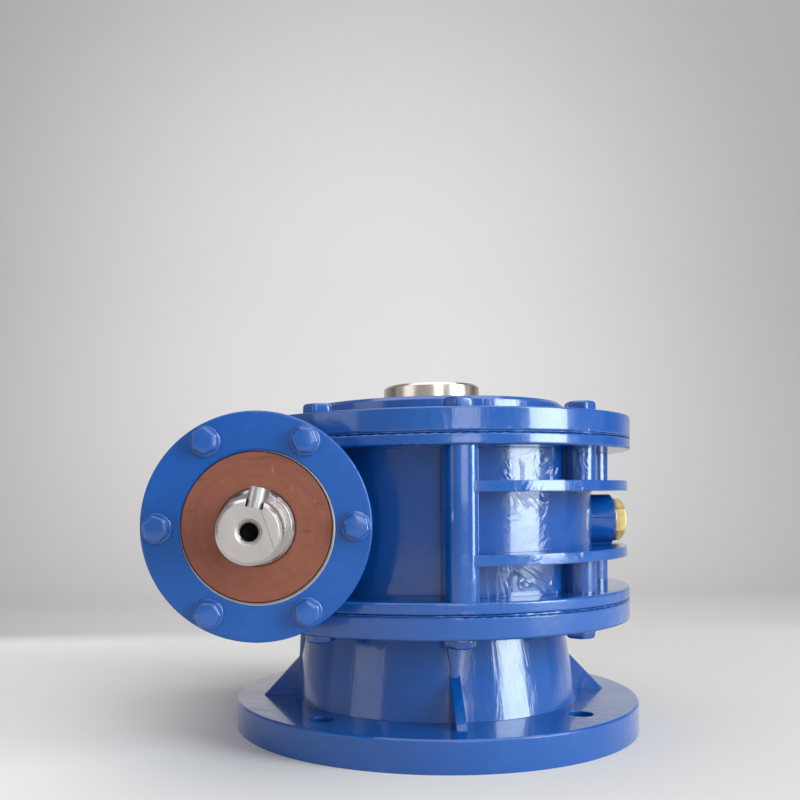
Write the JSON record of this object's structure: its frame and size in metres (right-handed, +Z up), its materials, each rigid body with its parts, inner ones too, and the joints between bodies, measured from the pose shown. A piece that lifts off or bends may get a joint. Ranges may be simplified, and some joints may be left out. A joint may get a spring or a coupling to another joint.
{
  "type": "worm gearbox",
  "caption": "Right-angle worm gearbox with a keyed input shaft, a hollow output shaft and a bell-shaped foot flange.",
  "frame": {"origin": "centre of the foot flange's underside, on the output shaft's axis", "axes": "+Z up along the hollow output shaft; the input shaft lies at -X and its keyed end points to -Y"},
  "size_m": [0.301, 0.3384, 0.2195],
  "materials": {
    "blue_enamel": "glossy enamel",
    "bare_steel": "turned and ground",
    "bearing_steel": "ground",
    "bronze": "machined bronze",
    "hub_iron": "machined casting",
    "brass": "bare brass",
    "copper_washer": "soft copper",
    "seal_rubber": "brown oil-seal rubber",
    "gasket": "oil-resistant paper and sealant"
  },
  "bodies": {
    "housing": {"gearbox_housing": "blue_enamel", "output_foot": "blue_enamel", "top_cover": "blue_enamel", "input_cover": "blue_enamel", "rear_cover": "blue_enamel", "upper_gasket": "gasket", "lower_gasket": "gasket", "input_gasket": "gasket", "rear_gasket": "gasket", "top_cover_bolts": "blue_enamel", "foot_bolts": "blue_enamel", "input_cover_bolts": "blue_enamel", "rear_cover_bolts": "blue_enamel", "input_cover_washers": "blue_enamel", "rear_cover_washers": "blue_enamel", "level_plug": "brass", "level_plug_washer": "copper_washer", "drain_plug": "brass", "drain_plug_washer": "copper_washer", "input_seal": "seal_rubber", "upper_output_seal": "seal_rubber", "lower_output_seal": "seal_rubber", "front_bearing_outer_ring": "bearing_steel", "rear_bearing_outer_ring": "bearing_steel", "upper_bearing_outer_ring": "bearing_steel", "lower_bearing_outer_ring": "bearing_steel"},
    "output": {"output_shaft": "bare_steel", "wheel_hub": "hub_iron", "wheel_rim": "bronze", "wheel_key": "bare_steel", "rim_lock_screws": "bare_steel", "shaft_spacer": "bare_steel", "upper_bearing_inner_ring": "bearing_steel", "lower_bearing_inner_ring": "bearing_steel"},
    "worm": {"worm_shaft": "bare_steel", "input_key": "bare_steel", "front_bearing_inner_ring": "bearing_steel", "rear_bearing_inner_ring": "bearing_steel"},
    "front_rollers": {"front_bearing_rollers": "bearing_steel"},
    "rear_rollers": {"rear_bearing_rollers": "bearing_steel"},
    "upper_rollers": {"upper_bearing_rollers": "bearing_steel"},
    "lower_rollers": {"lower_bearing_rollers": "bearing_steel"}
  },
  "joints": [
    {"name": "output_spin", "type": "hinge", "parent": "housing", "child": "output", "pos_m": [0, 0, 0.133], "axis": [0, 0, 1], "continuous": true},
    {"name": "worm_spin", "type": "hinge", "parent": "housing", "child": "worm", "pos_m": [-0.11, 0, 0.133], "axis": [0, 1, 0], "continuous": true},
    {"name": "front_rollers_spin", "type": "hinge", "parent": "housing", "child": "front_rollers", "pos_m": [-0.11, 0, 0.133], "axis": [0, 1, 0], "continuous": true},
    {"name": "rear_rollers_spin", "type": "hinge", "parent": "housing", "child": "rear_rollers", "pos_m": [-0.11, 0, 0.133], "axis": [0, 1, 0], "continuous": true},
    {"name": "upper_rollers_spin", "type": "hinge", "parent": "housing", "child": "upper_rollers", "pos_m": [0, 0, 0.133], "axis": [0, 0, 1], "continuous": true},
    {"name": "lower_rollers_spin", "type": "hinge", "parent": "housing", "child": "lower_rollers", "pos_m": [0, 0, 0.133], "axis": [0, 0, 1], "continuous": true}
  ],
  "couplings": [
    {"joint": "worm_spin", "follows": "output_spin", "ratio": 30},
    {"joint": "front_rollers_spin", "follows": "output_spin", "ratio": 13.575},
    {"joint": "rear_rollers_spin", "follows": "output_spin", "ratio": 13.575},
    {"joint": "upper_rollers_spin", "follows": "output_spin", "ratio": 0.4698},
    {"joint": "lower_rollers_spin", "follows": "output_spin", "ratio": 0.4698}
  ]
}
